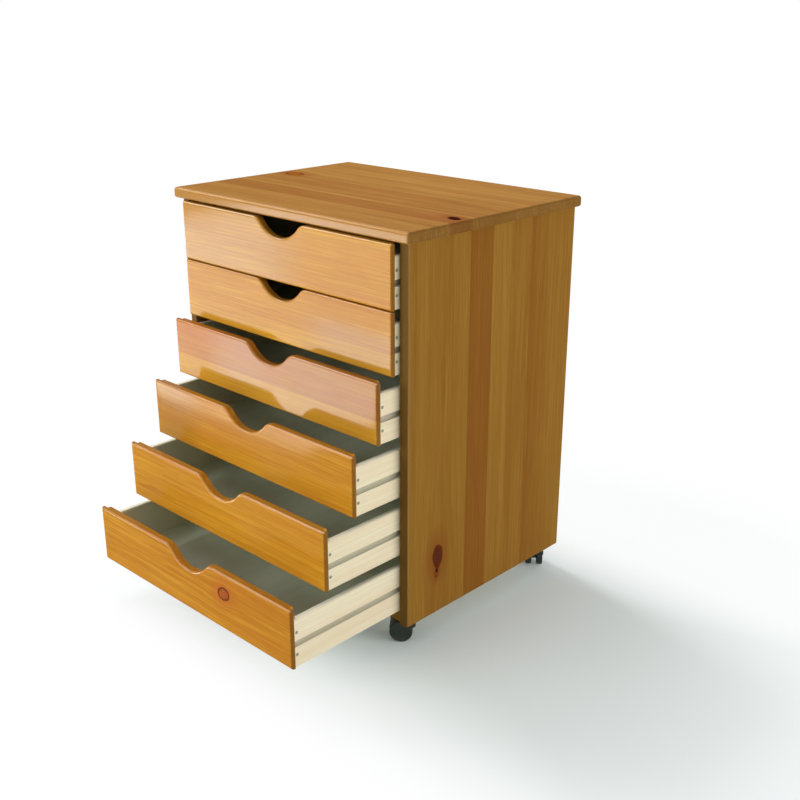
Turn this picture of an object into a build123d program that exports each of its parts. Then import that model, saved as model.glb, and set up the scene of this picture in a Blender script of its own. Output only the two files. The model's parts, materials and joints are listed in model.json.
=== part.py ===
from build123d import *
import os
from math import sqrt

# Rolling drawer cart in solid pine: an open-fronted cabinet, six drawers that hang on side
# runners, and four twin-wheel casters. Millimetres, X to the right, -Y to the front, Z up.
# The floor is Z = 0, the middle of the cart X = 0, and Y = 0 is halfway between the drawer
# front that stands furthest out and the rear edge of the top.

# Cabinet
CARCASS_WIDTH = 516.0  # over both side panels
CARCASS_DEPTH = 389.0
SIDE_THICKNESS = 16.0
FLOOR_GAP = 43.0  # floor to the lower edge of the side panels
PANEL_ARRIS = 3.0
TOP_THICKNESS = 17.0
TOP_SIDE_OVERHANG = 10.5
TOP_FRONT_OVERHANG = 11.0
TOP_BACK_OVERHANG = 2.0
TOP_ROUNDING = 5.0  # corners and upper arris
TOP_LOWER_ARRIS = 2.5
BACK_THICKNESS = 6.0
BACK_HOUSING = 8.0  # how far the back reaches into each side panel
BOTTOM_THICKNESS = 12.0
BOTTOM_HOUSING = 6.0  # how far the bottom reaches into each side panel
RAIL_THICKNESS = 16.0
RAIL_HEIGHT = 20.0
RAIL_SETBACK = 5.0
RAIL_ARRIS = 2.0
CLEAT_WIDTH = 14.0  # strips that tie the top to the sides
CLEAT_CLEARANCE = 5.0  # above the side boards of the highest drawer
CLEAT_SETBACK = 20.0

# Drawers, the first one at the top
DRAWERS_OPEN = (0.0, 0.0, 29.7, 79.7, 136.6, 203.7)
FRONT_HEIGHT = 95.5
FRONT_THICKNESS = 14.0
LIP_THICKNESS = 6.5  # what the rabbet leaves of the front, ahead of the side boards
FRONT_GAP = 1.5  # between one front and the next
RAIL_GAP = 2.0  # rail to the lowest front
TOP_GAP = 2.5  # highest front to the underside of the top
FRONT_PROUD = 15.0  # a closed front's face ahead of the side panels
FRONT_ARRIS = 3.0
SCOOP_DEPTH = 26.5
SCOOP_RADIUS = 58.0
SCOOP_SHOULDER_RADIUS = 20.0
DRAWER_PLAY = 2.0  # drawer side to cabinet side
STOP_GAP = 1.0  # closed drawer to the cabinet's back
BOARD_THICKNESS = 10.0  # side and back boards
BOARD_HEIGHT = 77.0
BOARD_RISE = 2.0  # side board's lower edge above the front's
BOARD_ROUNDING = 3.0
PLY_THICKNESS = 4.0
PLY_RISE = 6.0  # above the side board's lower edge
PLY_HOUSING = 4.0
PLY_PLAY = 0.5

# Runners and the grooves that hang on them
GROOVE_DEPTH = 5.0
GROOVE_HEIGHT = 10.0
GROOVE_RISE = 32.5  # above the side board's lower edge
RUNNER_PLAY = 1.0  # groove height less runner height
RUNNER_TOP_PLAY = 0.3  # part of it that is above the runner
RUNNER_END_PLAY = 1.0  # runner to the groove's floor
RUNNER_HOUSING = 3.0  # how far a runner is let into its panel
RUNNER_SETBACK = 8.0
RUNNER_NOSE = 4.0

# Casters, each one made with its swivel axis at X = Y = 0 and its wheels trailing towards +X
CASTER_SIDE_INSET = 22.8  # swivel axis from the outer face of the side panel
CASTER_END_INSET = 36.1  # swivel axis from the panel's front or rear edge
CASTER_TRAIL = 18.0
WHEEL_RADIUS = 18.5
WHEEL_WIDTH = 11.0
WHEEL_GAP = 0.4  # wheel to web
WEB_THICKNESS = 7.5
WEB_BOSS_RADIUS = 8.0
HOOD_NOSE = 5.5  # hood ahead of the swivel axis
HOOD_SKIRT_RISE = 8.0  # lower edge of the hood above the axle
HOOD_TREAD_GAP = 0.4
HOOD_LIP = 0.85  # hood beyond the wheels' outer faces
HOOD_CORNER = 5.0
POCKET_SIDES = 16
THRUST_GAP = 0.3
RACEWAY_HEIGHT = 2.2
RACEWAY_RADIUS = 11.0
AXLE_RADIUS = 2.5
AXLE_PLAY = 0.05
AXLE_SOCKET = 9.0  # length of axle in each wheel
KINGPIN_RADIUS = 3.0
KINGPIN_PLAY = 0.05
KINGPIN_DEPTH = 9.0
KINGPIN_TIP_GAP = 0.5
PLATE_SIZE = 38.0
PLATE_THICKNESS = 2.0
PLATE_CORNER = 4.0

# Swivel angle of each caster: where its wheels trail, in degrees from +X about +Z
CASTER_ANGLES = {
    "front_right": -140.0,
    "front_left": 97.0,
    "rear_right": 127.0,
    "rear_left": 62.0,
}

# Places that follow from the sizes
DRAWER_COUNT = len(DRAWERS_OPEN)
DRAWER_PITCH = FRONT_HEIGHT + FRONT_GAP
STACK_HEIGHT = DRAWER_COUNT * DRAWER_PITCH - FRONT_GAP
SIDE_HEIGHT = RAIL_HEIGHT + RAIL_GAP + STACK_HEIGHT + TOP_GAP
PANEL_TOP = FLOOR_GAP + SIDE_HEIGHT
OUTER_HALF = CARCASS_WIDTH / 2
INNER_HALF = OUTER_HALF - SIDE_THICKNESS
DRAWER_HALF = INNER_HALF - DRAWER_PLAY
BOX_HALF = DRAWER_HALF - BOARD_THICKNESS  # inside of the drawer's side boards

FRONT_REACH = FRONT_PROUD + max(DRAWERS_OPEN)
BACK_REACH = CARCASS_DEPTH + TOP_BACK_OVERHANG
FRONT_EDGE = (FRONT_REACH - BACK_REACH) / 2  # front edges of the side panels
REAR_EDGE = FRONT_EDGE + CARCASS_DEPTH
BACK_FACE = REAR_EDGE - BACK_THICKNESS  # front face of the cabinet's back
RAIL_FACE = FRONT_EDGE + RAIL_SETBACK
BOTTOM_EDGE = RAIL_FACE + RAIL_THICKNESS  # front edge of the bottom panel
DRAWER_LENGTH = FRONT_PROUD + CARCASS_DEPTH - BACK_THICKNESS - STOP_GAP
CLEAT_HEIGHT = TOP_GAP + FRONT_HEIGHT - BOARD_RISE - BOARD_HEIGHT - CLEAT_CLEARANCE
RUNNER_HEIGHT = GROOVE_HEIGHT - RUNNER_PLAY
RUNNER_REACH = DRAWER_PLAY + GROOVE_DEPTH - RUNNER_END_PLAY
RUNNER_START = FRONT_EDGE + RUNNER_SETBACK
RUNNER_LENGTH = BACK_FACE - RUNNER_START

AXLE_HEIGHT = WHEEL_RADIUS
POCKET_RADIUS = WHEEL_RADIUS + HOOD_TREAD_GAP
WHEEL_INNER = WEB_THICKNESS / 2 + WHEEL_GAP
WHEEL_OUTER = WHEEL_INNER + WHEEL_WIDTH
HOOD_HALF_WIDTH = WHEEL_OUTER + HOOD_LIP
HOOD_TAIL = CASTER_TRAIL + POCKET_RADIUS  # level with the wheels' trailing edges
PLATE_UNDERSIDE = FLOOR_GAP - PLATE_THICKNESS
RACEWAY_UNDERSIDE = PLATE_UNDERSIDE - RACEWAY_HEIGHT
HOOD_TOP = RACEWAY_UNDERSIDE - THRUST_GAP
AXLE_HALF_LENGTH = WHEEL_INNER + AXLE_SOCKET
AXLE_PLANE = Plane(origin=(CASTER_TRAIL, 0, AXLE_HEIGHT), x_dir=(0, 1, 0), z_dir=(1, 0, 0))
AXLE_AXIS = Axis((CASTER_TRAIL, 0, AXLE_HEIGHT), (0, 1, 0))

FRONT_CORNER = (Align.CENTER, Align.MIN, Align.MIN)  # boxes placed by front and lower edges


def front_base(number):
    """Height of the lower edge of one drawer's front."""
    return FLOOR_GAP + RAIL_HEIGHT + RAIL_GAP + (DRAWER_COUNT - number) * DRAWER_PITCH


def runner_base(number):
    """Height of the lower edge of the runners that one drawer hangs on."""
    groove_ceiling = front_base(number) + BOARD_RISE + GROOVE_RISE + GROOVE_HEIGHT
    return groove_ceiling - RUNNER_TOP_PLAY - RUNNER_HEIGHT


def write_piece(part, name):
    """Label one finished piece and write it as its own STEP file."""
    part.label = name
    export_step(part, f"parts/{name}.step")


def write_copy(part, name, place):
    """Write a copy of a piece that was made at its own origin."""
    with BuildPart() as copy:
        with Locations(place):
            add(part)
    copy.part.label = name
    export_step(copy.part, f"parts/{name}.step")


# Cabinet pieces


def top_panel():
    """Top with rounded corners and softened arrises."""
    width = CARCASS_WIDTH + 2 * TOP_SIDE_OVERHANG
    depth = TOP_FRONT_OVERHANG + CARCASS_DEPTH + TOP_BACK_OVERHANG
    with BuildPart() as top:
        with Locations((0, FRONT_EDGE - TOP_FRONT_OVERHANG, PANEL_TOP)):
            Box(width, depth, TOP_THICKNESS, align=FRONT_CORNER)
        fillet(top.edges().filter_by(Axis.Z), TOP_ROUNDING)
        fillet(top.faces().sort_by(Axis.Z)[-1].edges(), TOP_ROUNDING)
        chamfer(top.faces().sort_by(Axis.Z)[0].edges(), TOP_LOWER_ARRIS)
    return top.part


def side_panel(side):
    """Right side panel for side 1, left one for side -1, with its housings on the inner face."""
    with BuildPart() as panel:
        with Locations((side * (OUTER_HALF - SIDE_THICKNESS / 2), FRONT_EDGE, FLOOR_GAP)):
            Box(SIDE_THICKNESS, CARCASS_DEPTH, SIDE_HEIGHT, align=FRONT_CORNER)
        outer_face = panel.faces().sort_by(Axis.X)[-1 if side > 0 else 0]
        fillet(outer_face.edges().sort_by(Axis.Z)[:-1], PANEL_ARRIS)
        # Rabbet for the back
        with Locations((side * (INNER_HALF + BACK_HOUSING / 2), BACK_FACE, FLOOR_GAP)):
            Box(BACK_HOUSING, BACK_THICKNESS, SIDE_HEIGHT, align=FRONT_CORNER, mode=Mode.SUBTRACT)
        # Rabbet for the bottom, stopped behind the rail
        with Locations((side * (INNER_HALF + BOTTOM_HOUSING / 2), BOTTOM_EDGE, FLOOR_GAP)):
            Box(
                BOTTOM_HOUSING,
                BACK_FACE - BOTTOM_EDGE,
                BOTTOM_THICKNESS,
                align=FRONT_CORNER,
                mode=Mode.SUBTRACT,
            )
        # Stopped housings for the runners
        for number in range(1, DRAWER_COUNT + 1):
            with Locations((side * (INNER_HALF + RUNNER_HOUSING / 2), RUNNER_START, runner_base(number))):
                Box(
                    RUNNER_HOUSING,
                    RUNNER_LENGTH,
                    RUNNER_HEIGHT,
                    align=FRONT_CORNER,
                    mode=Mode.SUBTRACT,
                )
    return panel.part


def back_panel():
    """Plywood back in the side panels' rabbets."""
    with BuildPart() as back:
        with Locations((0, BACK_FACE, FLOOR_GAP)):
            Box(2 * (INNER_HALF + BACK_HOUSING), BACK_THICKNESS, SIDE_HEIGHT, align=FRONT_CORNER)
    return back.part


def bottom_panel():
    """Bottom board behind the rail, flush with the side panels' lower edges."""
    with BuildPart() as bottom:
        with Locations((0, BOTTOM_EDGE, FLOOR_GAP)):
            Box(
                2 * (INNER_HALF + BOTTOM_HOUSING),
                BACK_FACE - BOTTOM_EDGE,
                BOTTOM_THICKNESS,
                align=FRONT_CORNER,
            )
    return bottom.part


def front_rail():
    """Rail under the lowest drawer."""
    with BuildPart() as rail:
        with Locations((0, RAIL_FACE, FLOOR_GAP)):
            Box(2 * INNER_HALF, RAIL_THICKNESS, RAIL_HEIGHT, align=FRONT_CORNER)
        face = rail.faces().sort_by(Axis.Y)[0]
        fillet(face.edges().filter_by(Axis.X), RAIL_ARRIS)
    return rail.part


def runners(side):
    """The strips on one side panel, one for each drawer, each with a chamfered nose."""
    width = RUNNER_HOUSING + RUNNER_REACH
    middle = INNER_HALF + RUNNER_HOUSING - width / 2
    with BuildPart() as strips:
        for number in range(1, DRAWER_COUNT + 1):
            with BuildSketch(Plane.XY.offset(runner_base(number))) as plan:
                with Locations((side * middle, RUNNER_START + RUNNER_LENGTH / 2)):
                    Rectangle(width, RUNNER_LENGTH)
                nose = plan.vertices().group_by(Axis.Y)[0].sort_by(Axis.X)[0 if side > 0 else -1]
                chamfer(nose, RUNNER_NOSE)
            extrude(amount=RUNNER_HEIGHT)
    return strips.part


def top_cleats():
    """Strips in the corners under the top, one along each side panel."""
    start = FRONT_EDGE + CLEAT_SETBACK
    with BuildPart() as cleats:
        for side in (-1, 1):
            with Locations((side * (INNER_HALF - CLEAT_WIDTH / 2), start, PANEL_TOP - CLEAT_HEIGHT)):
                Box(CLEAT_WIDTH, BACK_FACE - start, CLEAT_HEIGHT, align=FRONT_CORNER)
    return cleats.part


# Drawer pieces, with the front's face at Y = 0 and its lower edge at Z = 0


def scoop_outline():
    """Scooped outline of the front: shoulders, then one hollow curve, all meeting tangent."""
    centre_rise = SCOOP_RADIUS - SCOOP_DEPTH
    reach = SCOOP_RADIUS + SCOOP_SHOULDER_RADIUS
    shoulder_drop = centre_rise + SCOOP_SHOULDER_RADIUS
    shoulder_x = sqrt(reach**2 - shoulder_drop**2)
    meet_x = shoulder_x * SCOOP_RADIUS / reach
    meet_z = FRONT_HEIGHT + centre_rise - shoulder_drop * SCOOP_RADIUS / reach
    with BuildLine() as outline:
        Polyline(
            (-shoulder_x, FRONT_HEIGHT),
            (-DRAWER_HALF, FRONT_HEIGHT),
            (-DRAWER_HALF, 0),
            (DRAWER_HALF, 0),
            (DRAWER_HALF, FRONT_HEIGHT),
            (shoulder_x, FRONT_HEIGHT),
        )
        TangentArc((shoulder_x, FRONT_HEIGHT), (meet_x, meet_z), tangent=(-1, 0))
        ThreePointArc((meet_x, meet_z), (0, FRONT_HEIGHT - SCOOP_DEPTH), (-meet_x, meet_z))
        TangentArc((-shoulder_x, FRONT_HEIGHT), (-meet_x, meet_z), tangent=(1, 0))
    return outline.line


def drawer_front():
    """Front board with a scooped grip, rabbeted at its ends and grooved for the plywood."""
    outline = scoop_outline()
    tongue_thickness = FRONT_THICKNESS - LIP_THICKNESS
    with BuildPart() as front:
        with BuildSketch(Plane.XZ.offset(-FRONT_THICKNESS)):
            add(outline)
            make_face()
        extrude(amount=FRONT_THICKNESS)
        # Rabbets that the side boards lap
        for side in (-1, 1):
            with Locations((side * (DRAWER_HALF - BOARD_THICKNESS / 2), LIP_THICKNESS, 0)):
                Box(
                    BOARD_THICKNESS,
                    tongue_thickness,
                    FRONT_HEIGHT,
                    align=FRONT_CORNER,
                    mode=Mode.SUBTRACT,
                )
        # Groove for the plywood bottom
        with Locations((0, FRONT_THICKNESS - PLY_HOUSING, BOARD_RISE + PLY_RISE)):
            Box(2 * BOX_HALF, PLY_HOUSING, PLY_THICKNESS, align=FRONT_CORNER, mode=Mode.SUBTRACT)
        chamfer(front.faces().sort_by(Axis.Y)[0].edges(), FRONT_ARRIS)
    return front.part


def drawer_side(side):
    """Side board, right for side 1: runner groove outside, plywood groove inside, round top."""
    length = DRAWER_LENGTH - LIP_THICKNESS
    middle = side * (DRAWER_HALF - BOARD_THICKNESS / 2)
    with BuildPart() as board:
        with BuildSketch(Plane.XZ.offset(-DRAWER_LENGTH)) as section:
            with Locations((middle, BOARD_RISE + BOARD_HEIGHT / 2)):
                Rectangle(BOARD_THICKNESS, BOARD_HEIGHT)
            fillet(section.vertices().group_by(Axis.Y)[-1], BOARD_ROUNDING)
            with Locations((side * (DRAWER_HALF - GROOVE_DEPTH / 2), BOARD_RISE + GROOVE_RISE)):
                Rectangle(
                    GROOVE_DEPTH, GROOVE_HEIGHT, align=(Align.CENTER, Align.MIN), mode=Mode.SUBTRACT
                )
            with Locations((side * (BOX_HALF + PLY_HOUSING / 2), BOARD_RISE + PLY_RISE)):
                Rectangle(
                    PLY_HOUSING, PLY_THICKNESS, align=(Align.CENTER, Align.MIN), mode=Mode.SUBTRACT
                )
        extrude(amount=length)
    return board.part


def drawer_back():
    """Back board between the side boards, standing on the plywood bottom."""
    foot = BOARD_RISE + PLY_RISE + PLY_THICKNESS
    with BuildPart() as board:
        with Locations((0, DRAWER_LENGTH - BOARD_THICKNESS, foot)):
            Box(2 * BOX_HALF, BOARD_THICKNESS, BOARD_RISE + BOARD_HEIGHT - foot, align=FRONT_CORNER)
    return board.part


def drawer_bottom():
    """Plywood bottom, in the grooves of the sides and the front and under the back."""
    start = FRONT_THICKNESS - PLY_HOUSING + PLY_PLAY
    with BuildPart() as sheet:
        with Locations((0, start, BOARD_RISE + PLY_RISE)):
            Box(
                2 * (BOX_HALF + PLY_HOUSING - PLY_PLAY),
                DRAWER_LENGTH - start,
                PLY_THICKNESS,
                align=FRONT_CORNER,
            )
    return sheet.part


# Caster pieces


def caster_hood():
    """Moulded hood over both wheels, its web down to the axle boss, and its kingpin bore."""
    with BuildPart() as hood:
        with BuildSketch(Plane.XZ.offset(-HOOD_HALF_WIDTH)) as profile:
            with Locations((-HOOD_NOSE, AXLE_HEIGHT + HOOD_SKIRT_RISE)):
                Rectangle(
                    HOOD_NOSE + HOOD_TAIL,
                    HOOD_TOP - AXLE_HEIGHT - HOOD_SKIRT_RISE,
                    align=(Align.MIN, Align.MIN),
                )
            fillet(profile.vertices().group_by(Axis.Y)[-1], HOOD_CORNER)
        extrude(amount=2 * HOOD_HALF_WIDTH)
        for side in (-1, 1):
            with BuildSketch(Plane.XZ.offset(side * WEB_THICKNESS / 2)):
                with Locations((CASTER_TRAIL, AXLE_HEIGHT)):
                    RegularPolygon(POCKET_RADIUS, POCKET_SIDES, major_radius=False)
            extrude(amount=side * HOOD_HALF_WIDTH, mode=Mode.SUBTRACT)
        with BuildSketch(Plane.XZ.offset(-WEB_THICKNESS / 2)):
            with Locations((CASTER_TRAIL, AXLE_HEIGHT)):
                Circle(WEB_BOSS_RADIUS)
                Rectangle(
                    2 * WEB_BOSS_RADIUS,
                    HOOD_TOP - AXLE_HEIGHT - HOOD_CORNER,
                    align=(Align.CENTER, Align.MIN),
                )
        extrude(amount=WEB_THICKNESS)
        with BuildSketch(Plane.XZ.offset(-WEB_THICKNESS)):
            with Locations((CASTER_TRAIL, AXLE_HEIGHT)):
                Circle(AXLE_RADIUS + AXLE_PLAY)
        extrude(amount=2 * WEB_THICKNESS, mode=Mode.SUBTRACT)
        with BuildSketch(Plane.XY.offset(HOOD_TOP)):
            Circle(KINGPIN_RADIUS + KINGPIN_PLAY)
        extrude(amount=-KINGPIN_DEPTH, mode=Mode.SUBTRACT)
    return hood.part


def caster_wheels():
    """Both wheels, each with a blind bore that its end of the axle is pressed into."""
    bore_end = WHEEL_INNER + AXLE_SOCKET
    with BuildPart() as wheels:
        with BuildSketch(AXLE_PLANE):
            with BuildLine():
                Polyline(
                    (WHEEL_INNER, AXLE_RADIUS),
                    (WHEEL_INNER, WHEEL_RADIUS),
                    (WHEEL_OUTER, WHEEL_RADIUS),
                    (WHEEL_OUTER, 0),
                    (bore_end, 0),
                    (bore_end, AXLE_RADIUS),
                    close=True,
                )
            make_face()
        revolve(axis=AXLE_AXIS)
        mirror(about=Plane.XZ)
    return wheels.part


def caster_axle():
    """Steel axle through the web and into both wheels."""
    with BuildPart() as axle:
        with BuildSketch(Plane.XZ.offset(-AXLE_HALF_LENGTH)):
            with Locations((CASTER_TRAIL, AXLE_HEIGHT)):
                Circle(AXLE_RADIUS)
        extrude(amount=2 * AXLE_HALF_LENGTH)
    return axle.part


def caster_plate():
    """Steel mounting plate with its raceway boss."""
    with BuildPart() as plate:
        with BuildSketch(Plane.XY.offset(PLATE_UNDERSIDE)) as plan:
            Rectangle(PLATE_SIZE, PLATE_SIZE)
            chamfer(plan.vertices(), PLATE_CORNER)
        extrude(amount=PLATE_THICKNESS)
        with BuildSketch(Plane.XY.offset(RACEWAY_UNDERSIDE)):
            Circle(RACEWAY_RADIUS)
        extrude(amount=RACEWAY_HEIGHT)
    return plate.part


def caster_kingpin():
    """Steel kingpin under the raceway, on which the hood turns."""
    foot = HOOD_TOP - KINGPIN_DEPTH + KINGPIN_TIP_GAP
    with BuildPart() as kingpin:
        with BuildSketch(Plane.XY.offset(foot)):
            Circle(KINGPIN_RADIUS)
        extrude(amount=RACEWAY_UNDERSIDE - foot)
    return kingpin.part


def caster_place(corner, turned=True):
    """Where one caster stands: its swivel axis, and the way that its wheels trail."""
    x = OUTER_HALF - CASTER_SIDE_INSET
    front_y = FRONT_EDGE + CASTER_END_INSET
    rear_y = REAR_EDGE - CASTER_END_INSET
    return Location(
        (x if "right" in corner else -x, front_y if "front" in corner else rear_y, 0),
        (0, 0, CASTER_ANGLES[corner] if turned else 0),
    )


def write_group(part, name, places):
    """Write copies of one piece, at several places, as one group of separate solids."""
    with BuildPart() as group:
        with Locations(*places):
            add(part)
    write_piece(group.part, name)


os.makedirs("parts", exist_ok=True)

write_piece(top_panel(), "top_panel")
write_piece(side_panel(-1), "left_side_panel")
write_piece(side_panel(1), "right_side_panel")
write_piece(back_panel(), "back_panel")
write_piece(bottom_panel(), "bottom_panel")
write_piece(front_rail(), "front_rail")
write_piece(runners(-1), "left_runners")
write_piece(runners(1), "right_runners")
write_piece(top_cleats(), "top_cleats")

drawer_pieces = {
    "front": drawer_front(),
    "left_side": drawer_side(-1),
    "right_side": drawer_side(1),
    "back": drawer_back(),
    "bottom": drawer_bottom(),
}
for number, opened in enumerate(DRAWERS_OPEN, start=1):
    drawer_place = Location((0, FRONT_EDGE - FRONT_PROUD - opened, front_base(number)))
    for piece_name, piece in drawer_pieces.items():
        write_copy(piece, f"drawer_{number}_{piece_name}", drawer_place)

caster_pieces = {"hood": caster_hood(), "wheels": caster_wheels(), "axle": caster_axle()}
for corner in CASTER_ANGLES:
    for piece_name, piece in caster_pieces.items():
        write_copy(piece, f"{corner}_caster_{piece_name}", caster_place(corner))

square_places = [caster_place(corner, turned=False) for corner in CASTER_ANGLES]
write_group(caster_plate(), "caster_plates", square_places)
write_group(caster_kingpin(), "caster_kingpins", square_places)
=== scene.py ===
# %% [markdown]
# # A rolling drawer cart in varnished pine
# The cart is an open-fronted pine cabinet. Six shallow drawers hang in it on side runners, and
# it rolls on four twin-wheel casters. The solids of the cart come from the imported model, which
# is loaded as a fixed frame. This lesson gives each surface its finish, and remakes by hand the
# pieces whose rounded edges and small parts catch the light.

# %% Load the frame
import json
from math import pi, radians, sqrt

import bpy
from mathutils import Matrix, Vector


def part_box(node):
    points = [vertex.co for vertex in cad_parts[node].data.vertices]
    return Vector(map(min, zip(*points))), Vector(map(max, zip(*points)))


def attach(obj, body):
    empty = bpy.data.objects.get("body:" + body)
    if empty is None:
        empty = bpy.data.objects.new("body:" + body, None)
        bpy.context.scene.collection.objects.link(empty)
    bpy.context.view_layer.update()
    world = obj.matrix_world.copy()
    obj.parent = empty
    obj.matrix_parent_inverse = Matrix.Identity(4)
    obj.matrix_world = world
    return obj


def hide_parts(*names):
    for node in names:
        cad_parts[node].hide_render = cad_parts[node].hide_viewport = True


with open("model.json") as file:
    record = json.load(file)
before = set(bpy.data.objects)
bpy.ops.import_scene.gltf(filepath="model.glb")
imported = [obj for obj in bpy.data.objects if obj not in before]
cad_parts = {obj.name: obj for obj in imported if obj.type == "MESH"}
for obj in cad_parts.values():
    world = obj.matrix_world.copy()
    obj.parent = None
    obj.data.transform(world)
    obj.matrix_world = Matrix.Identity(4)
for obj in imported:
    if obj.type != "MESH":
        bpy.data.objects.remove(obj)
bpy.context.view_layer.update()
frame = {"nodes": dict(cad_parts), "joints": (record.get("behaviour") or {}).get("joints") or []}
nodes = frame["nodes"]

# %% [markdown]
# ## The camera
# The photograph shows the cart from its front right corner, a little above its top. The place
# and the lens come from the straight edges of the cabinet in the picture, so the camera is set
# from three turns and one lens length, with a shift of a pixel or two.

# %% Set the camera
bpy.ops.object.select_all(action="DESELECT")
bpy.ops.object.camera_add(
    location=(1.2686, -1.15711, 0.9675),
    rotation=(radians(69.549), radians(-0.024), radians(43.733)),
)
camera = bpy.context.object
camera.name = "photograph_camera"
camera.data.sensor_width = 36
camera.data.lens = 49.44
camera.data.shift_x = -0.00155
camera.data.shift_y = 0.00183
camera.data.clip_end = 100
bpy.context.scene.camera = camera
bpy.context.scene.view_settings.view_transform = "Standard"
print("camera stands", round(camera.location.length, 2), "m from the middle of the floor")

# %% [markdown]
# ## Shader sums as plain sums
# A node tree gets hard to read once it has a dozen Math nodes. Two small classes help. A
# Reading is one number that changes over a surface, and a sum written with it adds its Math
# nodes. A Tree adds any other node: its settings come first, then what feeds its sockets.

# %% Readings and trees
class Reading:
    """One number that changes over a surface."""

    def __init__(self, tree, socket):
        self.tree = tree
        self.socket = socket

    def math(self, operation, *terms):
        return self.tree.node("ShaderNodeMath", {"operation": operation}, dict(enumerate(terms)))

    def __add__(self, other):
        return self.math("ADD", self, other)

    def __sub__(self, other):
        return self.math("SUBTRACT", self, other)

    def __rsub__(self, other):
        return self.math("SUBTRACT", other, self)

    def __mul__(self, other):
        return self.math("MULTIPLY", self, other)

    def __truediv__(self, other):
        return self.math("DIVIDE", self, other)

    def __rtruediv__(self, other):
        return self.math("DIVIDE", other, self)

    def __pow__(self, other):
        return self.math("POWER", self, other)

    def __gt__(self, other):
        return self.math("GREATER_THAN", self, other)

    def __abs__(self):
        return self.math("ABSOLUTE", self)

    __radd__ = __add__
    __rmul__ = __mul__

    def root(self):
        return self.math("SQRT", self)

    def fraction(self):
        return self.math("FRACT", self)

    def floor(self):
        return self.math("FLOOR", self)

    def fade(self, start, end):
        """0 before start and 1 after end, with a smooth step between them."""
        ramp = {"interpolation_type": "SMOOTHSTEP"}
        given = {0: self, 1: start, 2: end, 3: 0.0, 4: 1.0}
        return self.tree.node("ShaderNodeMapRange", ramp, given)


class Tree:
    """The nodes of one finish, or of the world."""

    def __init__(self, tree):
        self.tree = tree

    def node(self, kind, settings=None, inputs=None, output=0):
        node = self.tree.nodes.new(kind)
        for name, value in (settings or {}).items():
            setattr(node, name, value)
        for key, value in (inputs or {}).items():
            self.feed(node.inputs[key], value)
        return Reading(self, node.outputs[output])

    def feed(self, socket, value):
        if isinstance(value, Reading):
            self.tree.links.new(value.socket, socket)
        else:
            socket.default_value = value

    def vector(self, x, y, z):
        return self.node("ShaderNodeCombineXYZ", None, {0: x, 1: y, 2: z})

    def noise(self, vector, scale=1.0, detail=2.0, roughness=0.5):
        """Noise around 0, about half a unit either way."""
        inputs = {"Vector": vector, "Scale": scale, "Detail": detail, "Roughness": roughness}
        return self.node("ShaderNodeTexNoise", None, inputs) - 0.5

    def chance(self, seed):
        """Three numbers from 0 to 1 that are different for each whole number."""
        white = self.node("ShaderNodeTexWhiteNoise", {"noise_dimensions": "1D"}, {"W": seed}, 1)
        split = self.node("ShaderNodeSeparateColor", None, {0: white}).socket.node
        return [Reading(self, socket) for socket in split.outputs]

    def blend(self, amount, first, second):
        """A colour between two others."""
        settings = {"data_type": "RGBA", "blend_type": "MIX", "clamp_factor": True}
        return self.node("ShaderNodeMix", settings, {0: amount, 6: first, 7: second}, 2)


class Finish(Tree):
    """A material with a Principled shader, and its places on the object."""

    def __init__(self, name, **constants):
        self.material = bpy.data.materials.new(name)
        self.material.use_nodes = True
        super().__init__(self.material.node_tree)
        self.shader = self.tree.nodes["Principled BSDF"]
        for key, value in constants.items():
            self.shader.inputs[key.replace("_", " ")].default_value = value
        place = self.node("ShaderNodeTexCoord", None, None, 3)
        split = self.node("ShaderNodeSeparateXYZ", None, {0: place}).socket.node
        self.x, self.y, self.z = [Reading(self, socket) for socket in split.outputs]
        facing = self.node("ShaderNodeTexCoord", None, None, 1)
        self.facing_up = Reading(
            self, self.node("ShaderNodeSeparateXYZ", None, {0: facing}).socket.node.outputs[2]
        )

    def give(self, **inputs):
        """Feed the shader's own sockets."""
        for key, value in inputs.items():
            self.feed(self.shader.inputs[key.replace("_", " ")], value)

    def bump(self, height, strength, distance):
        normal = self.node(
            "ShaderNodeBump", None, {"Strength": strength, "Distance": distance, "Height": height}
        )
        self.give(Normal=normal)


print("shader helpers ready")

# %% [markdown]
# ## Light and backdrop
# The photograph is a studio picture: white all round, one soft light above the left side that
# throws the shadow to the right, a wide soft light in front and a weak one on the right. The
# floor is pale and takes the shadow. The camera sees it a little brighter than it is lit, and
# away from the shadow it runs out into white. Two cards are seen only in the varnish: a low one
# in the faces of the upper drawers, a high one in the rounded edges of all the fronts.

# %% The floor
WHITE = (1, 1, 1, 1)
FLOOR_TONE = (0.765, 0.84, 0.835, 1)
FLOOR_LIFT = 0.05  # how much brighter than it is lit the camera sees the floor
SHADOW_HEART = (0.34, 0.06)  # where the shadow is deepest
SHADOW_FADE = (0.15, 0.80)  # from there, where the floor begins and ends to turn white
FRONT_FADE = (0.06, 0.37)  # the same ahead of the cart's middle
REAR_FADE, REAR_SHARE = (0.24, 0.42), 0.8  # and behind it, where some of the shadow stays
GLOSS_FADE = (1.3, 2.2)  # the same for the floor in the varnish
bpy.ops.mesh.primitive_plane_add(size=60, location=(0, 0, 0))
floor = bpy.context.object
floor.name = "studio_floor"
floor_finish = Finish("studio_floor_white", Roughness=1.0, Specular_IOR_Level=0.0)
floor_finish.give(Base_Color=FLOOR_TONE)
sockets = floor_finish.node("ShaderNodeLightPath").socket.node.outputs
by_camera = Reading(floor_finish, sockets["Is Camera Ray"])
by_gloss = Reading(floor_finish, sockets["Is Glossy Ray"])


def reach_from(x, y):
    """How far each point of the floor lies from one point on it."""
    aside, ahead = floor_finish.x - x, floor_finish.y - y
    return (aside * aside + ahead * ahead).root()


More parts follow.
